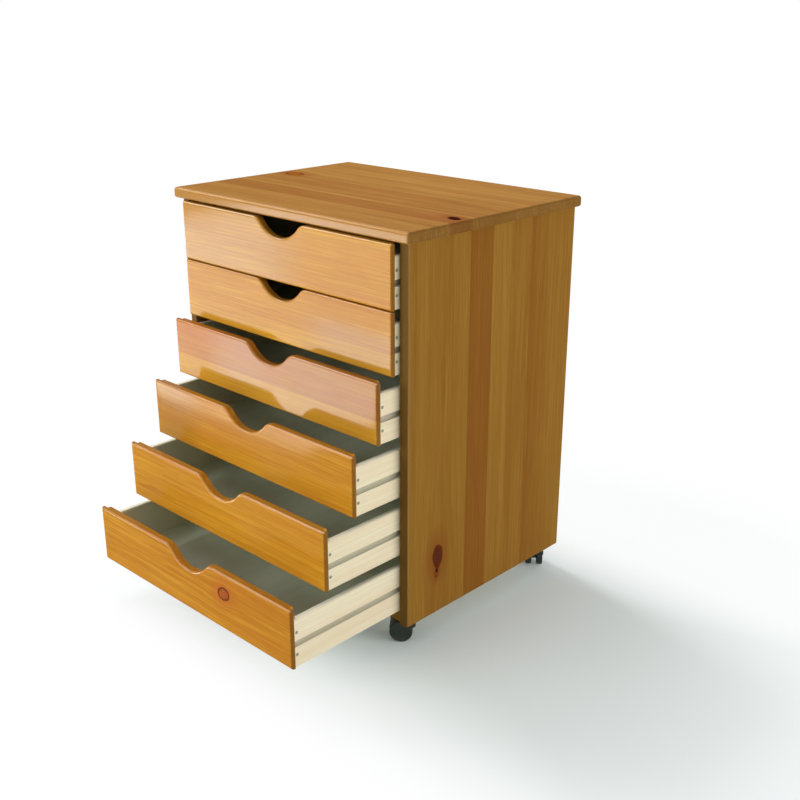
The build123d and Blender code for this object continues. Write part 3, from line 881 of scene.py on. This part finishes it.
# %% Hang a copy on each drawer
for name in drawer_names:
    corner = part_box(f"{name}_front")[0]
    board = copy_piece(front, f"{name}_front_board", (0, corner.y, corner.z))
    dress(board, front_pine)
    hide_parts(f"{name}_front")
    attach(board, name)
remove(front)
print("fronts on", drawer_names)

# %% [markdown]
# ## Nails
# The side boards are nailed to the rabbets of the front and to the back board, two nails at
# each joint. The heads stand a hair proud of the wood and show as small grey discs. One head is a
# short cylinder whose face is inset twice, up and down; all eight on a drawer are one piece.

# %% One nail
NAIL_RADIUS, NAIL_LENGTH, NAIL_PROUD = 0.0026, 0.004, 0.0002
nail = start(
    bpy.ops.mesh.primitive_cylinder_add, "nail_shape", vertices=16, radius=NAIL_RADIUS,
    depth=NAIL_LENGTH, location=(NAIL_PROUD - NAIL_LENGTH / 2, 0, 0), rotation=(0, pi / 2, 0),
)
pick(nail, "FACE", lambda centre, normal: normal.x > 0.9)
bpy.ops.mesh.inset(thickness=NAIL_RADIUS * 0.3, depth=0.00012)
bpy.ops.mesh.inset(thickness=NAIL_RADIUS * 0.25, depth=-0.00010)
bpy.ops.object.mode_set(mode="OBJECT")
soften(nail, 50)
print("nail head", NAIL_RADIUS * 2000, "mm across")

# %% Nail the drawers together
NAIL_HEIGHTS = (0.022, 0.058)  # above the foot of the front
NAIL_SETBACK = 0.01025  # from the face of the front
for name in drawer_names:
    corner, far_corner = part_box(f"{name}_front")[0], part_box(f"{name}_right_side")[1]
    nails = []
    for rise in NAIL_HEIGHTS:
        for y in (corner.y + NAIL_SETBACK, far_corner.y - BOARD / 2):
            for side in (1, -1):
                place = (side * far_corner.x, y, corner.z + rise)
                nails.append(copy_piece(nail, "nail", place, 0 if side > 0 else pi))
    drawer_nails = join(nails, f"{name}_nails")
    dress(drawer_nails, nail_steel)
    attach(drawer_nails, name)
print("nails in", len(drawer_names), "drawers")

# %% Nail the plywood back
NAILS_UP, NAILS_ACROSS = 8, 5
MARGIN_UP, MARGIN_ACROSS = 0.03, 0.05  # from the corners of the back to the first nails
SIDE_MARGIN, FOOT_MARGIN = 0.004, 0.006  # from its edges
back_low, back_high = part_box("back_panel")
nails = []
for side in (-1, 1):
    for step in range(NAILS_UP):
        share = step * (back_high.z - back_low.z - 2 * MARGIN_UP) / (NAILS_UP - 1)
        place = (side * (back_high.x - SIDE_MARGIN), back_high.y, back_low.z + MARGIN_UP + share)
        nails.append(copy_piece(nail, "nail", place, pi / 2))
for step in range(NAILS_ACROSS):
    share = step * (back_high.x - back_low.x - 2 * MARGIN_ACROSS) / (NAILS_ACROSS - 1)
    place = (back_low.x + MARGIN_ACROSS + share, back_high.y, back_low.z + FOOT_MARGIN)
    nails.append(copy_piece(nail, "nail", place, pi / 2))
nail_count = len(nails)
back_nails = join(nails, "back_panel_nails")
dress(back_nails, nail_steel)
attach(back_nails, "cabinet")
remove(nail)
print("back nailed with", nail_count, "nails")

# %% [markdown]
# ## The casters
# Each caster has a moulded hood over twin wheels. The hood's swivel axis is offset from its
# axle, so it trails. The CAD solids give every place: the swivel axis is the joint's, and the
# wheel axis is the roll joint's. The hood starts as a block whose upper corners are rounded and
# whose nose is chamfered below. Two cylinders are taken out for the wheels, the tail is trimmed
# to a curve round them, and a boss and a column between the wheels carry the axle. Its arrises
# get a small bevel. A wheel is a cylinder with a rounded tread, a sunk disc and a raised hub cap.

# %% Hood
WHEEL_RADIUS, WHEEL_WIDTH, WEB, TRAIL = 0.0185, 0.011, 0.0075, 0.018
HOOD_TOP, HOOD_FOOT, HOOD_HALF_WIDTH = 0.0385, 0.0265, 0.016
HOOD_NOSE, HOOD_TAIL = -0.0055, 0.0369
HOOD_ROUNDING, NOSE_CHAMFER, HOOD_ARRIS = 0.005, 0.0045, 0.0007
POCKET, WHEEL_INNER = 0.0189, 0.00415
TAIL_REACH = 0.024  # the tail's curve is cut inside this square
BOSS_RADIUS, COLUMN_LENGTH, COLUMN_HEIGHT = 0.008, 0.016, 0.015
hood = start(
    bpy.ops.mesh.primitive_cube_add, "hood_shape",
    (HOOD_TAIL - HOOD_NOSE, 2 * HOOD_HALF_WIDTH, HOOD_TOP - HOOD_FOOT), size=1,
    location=((HOOD_NOSE + HOOD_TAIL) / 2, 0, (HOOD_TOP + HOOD_FOOT) / 2),
)
pick(hood, "EDGE", lambda a, b: min(a.z, b.z) > HOOD_TOP - 1e-5 and abs(a.y - b.y) > 1e-5)
bpy.ops.mesh.bevel(
    offset=HOOD_ROUNDING, offset_type="OFFSET", segments=7, profile=0.5, affect="EDGES"
)
bpy.ops.object.mode_set(mode="OBJECT")
pick(hood, "EDGE", lambda a, b: max(a.x, b.x) < HOOD_NOSE + 1e-5 and (
    max(a.z, b.z) < HOOD_FOOT + 1e-5
))
bpy.ops.mesh.bevel(offset=NOSE_CHAMFER, offset_type="OFFSET", segments=1, affect="EDGES")
bpy.ops.object.mode_set(mode="OBJECT")
for side in (-1, 1):
    pocket = start(
        bpy.ops.mesh.primitive_cylinder_add, "pocket_cutter", vertices=56, radius=POCKET,
        depth=HOOD_HALF_WIDTH, rotation=(pi / 2, 0, 0),
        location=(TRAIL, side * (WEB / 2 + HOOD_HALF_WIDTH / 2), WHEEL_RADIUS),
    )
    apply_modifier(hood, "BOOLEAN", operation="DIFFERENCE", object=pocket, solver="EXACT")
    remove(pocket)
# The tail of the hood follows the wheels
tail = start(
    bpy.ops.mesh.primitive_cube_add, "tail_cutter", (TAIL_REACH, 0.040, TAIL_REACH), size=1,
    location=(TRAIL + TAIL_REACH / 2, 0, WHEEL_RADIUS + TAIL_REACH / 2),
)
follow = start(
    bpy.ops.mesh.primitive_cylinder_add, "tail_round", vertices=72,
    radius=HOOD_TOP - WHEEL_RADIUS, depth=0.044, rotation=(pi / 2, 0, 0),
    location=(TRAIL, 0, WHEEL_RADIUS),
)
apply_modifier(tail, "BOOLEAN", operation="DIFFERENCE", object=follow, solver="EXACT")
apply_modifier(hood, "BOOLEAN", operation="DIFFERENCE", object=tail, solver="EXACT")
remove(tail, follow)
boss = start(
    bpy.ops.mesh.primitive_cylinder_add, "axle_boss", vertices=32, radius=BOSS_RADIUS,
    depth=WEB, rotation=(pi / 2, 0, 0), location=(TRAIL, 0, WHEEL_RADIUS),
)
apply_modifier(hood, "BOOLEAN", operation="UNION", object=boss, solver="EXACT")
remove(boss)
column = start(
    bpy.ops.mesh.primitive_cube_add, "web_column", (COLUMN_LENGTH, WEB, COLUMN_HEIGHT), size=1,
    location=(TRAIL, 0, WHEEL_RADIUS + COLUMN_HEIGHT / 2),
)
apply_modifier(hood, "BOOLEAN", operation="UNION", object=column, solver="EXACT")
remove(column)
apply_modifier(
    hood, "BEVEL", width=HOOD_ARRIS, segments=3, limit_method="ANGLE", angle_limit=radians(40)
)
soften(hood, 30)
print("hood has", len(hood.data.polygons), "faces")

# %% Wheel
TREAD_ROUNDING = 0.0026
# How far each step of a wheel's face lies inside the one before, and how far it rises
FACE_STEPS = ((0.0028, 0), (0.0006, -0.0007), (0.0088, 0), (0.0006, 0.0005))
wheel = start(
    bpy.ops.mesh.primitive_cylinder_add, "wheel_shape", vertices=56, radius=WHEEL_RADIUS,
    depth=WHEEL_WIDTH, rotation=(pi / 2, 0, 0),
    location=(TRAIL, WHEEL_INNER + WHEEL_WIDTH / 2, WHEEL_RADIUS),
)
for direction in (1, -1):
    pick(wheel, "FACE", lambda centre, normal: normal.y * direction > 0.9)
    for width, depth in FACE_STEPS:
        bpy.ops.mesh.inset(thickness=width, depth=depth)


def on_rim(co):
    return sqrt((co.x - TRAIL) ** 2 + (co.z - WHEEL_RADIUS) ** 2) > WHEEL_RADIUS - 1e-4


pick(wheel, "EDGE", lambda a, b: on_rim(a) and on_rim(b) and abs(a.y - b.y) < 1e-5)
bpy.ops.mesh.bevel(
    offset=TREAD_ROUNDING, offset_type="OFFSET", segments=5, profile=0.5, affect="EDGES"
)
bpy.ops.object.mode_set(mode="OBJECT")
soften(wheel, 35)
print("wheel has", len(wheel.data.polygons), "faces")

# %% Stand the casters under the cabinet
CORNERS = ("front_right", "front_left", "rear_right", "rear_left")
joints = {joint["name"]: joint for joint in frame["joints"]}
for corner in CORNERS:
    swivel = Vector(joints[f"{corner}_caster_swivel"]["pos_m"])
    axle = Vector(joints[f"{corner}_caster_roll"]["pos_m"])
    trail = axle - swivel
    turn = Vector((1, 0)).angle_signed(Vector((trail.x, trail.y)))
    place = (swivel.x, swivel.y, 0)
    caster_hood = copy_piece(hood, f"{corner}_caster_hood_shell", place, -turn)
    dress(caster_hood, hood_nylon)
    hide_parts(f"{corner}_caster_hood")
    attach(caster_hood, f"{corner}_caster_swivel")
    outer = copy_piece(wheel, "wheel", (0, 0, 0))
    inner = copy_piece(wheel, "wheel", (2 * TRAIL, 0, 0), pi)
    pair = join([outer, inner], "wheels")
    caster_wheels = copy_piece(pair, f"{corner}_caster_twin_wheels", place, -turn)
    remove(pair)
    dress(caster_wheels, wheel_nylon)
    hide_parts(f"{corner}_caster_wheels")
    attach(caster_wheels, f"{corner}_caster_wheel_pair")
remove(hood, wheel)
print("casters placed")

# %% Screws of the caster plates
PLATE_HOLE = 0.013  # from the swivel axis to the screws, both ways
PLATE_THICKNESS = 0.002
SCREW_RADIUS, SCREW_HEIGHT, SCREW_ROUNDING = 0.0030, 0.0010, 0.0005
CROSS_LENGTH, CROSS_WIDTH, CROSS_DEPTH = 0.0034, 0.0009, 0.0004
screw_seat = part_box("bottom_panel")[0].z - PLATE_THICKNESS
screw = start(
    bpy.ops.mesh.primitive_cylinder_add, "screw_shape", vertices=20, radius=SCREW_RADIUS,
    depth=SCREW_HEIGHT, location=(0, 0, screw_seat - SCREW_HEIGHT / 2),
)
pick(screw, "EDGE", lambda a, b: max(a.z, b.z) < screw_seat - 0.9 * SCREW_HEIGHT)
bpy.ops.mesh.bevel(offset=SCREW_ROUNDING, segments=2, affect="EDGES")
bpy.ops.object.mode_set(mode="OBJECT")
for length, width in ((CROSS_LENGTH, CROSS_WIDTH), (CROSS_WIDTH, CROSS_LENGTH)):
    slot_cutter = start(
        bpy.ops.mesh.primitive_cube_add, "cross_cutter", (length, width, SCREW_HEIGHT), size=1,
        location=(0, 0, screw_seat - 1.5 * SCREW_HEIGHT + CROSS_DEPTH),
    )
    apply_modifier(screw, "BOOLEAN", operation="DIFFERENCE", object=slot_cutter, solver="EXACT")
    remove(slot_cutter)
soften(screw, 35)
screws = []
for corner in CORNERS:
    swivel = joints[f"{corner}_caster_swivel"]["pos_m"]
    for side_x in (-1, 1):
        for side_y in (-1, 1):
            place = (swivel[0] + side_x * PLATE_HOLE, swivel[1] + side_y * PLATE_HOLE, 0)
            screws.append(copy_piece(screw, "screw", place))
screw_count = len(screws)
plate_screws = join(screws, "caster_plate_screws")
dress(plate_screws, steel)
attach(plate_screws, "cabinet")
remove(screw)
print("screws:", screw_count)
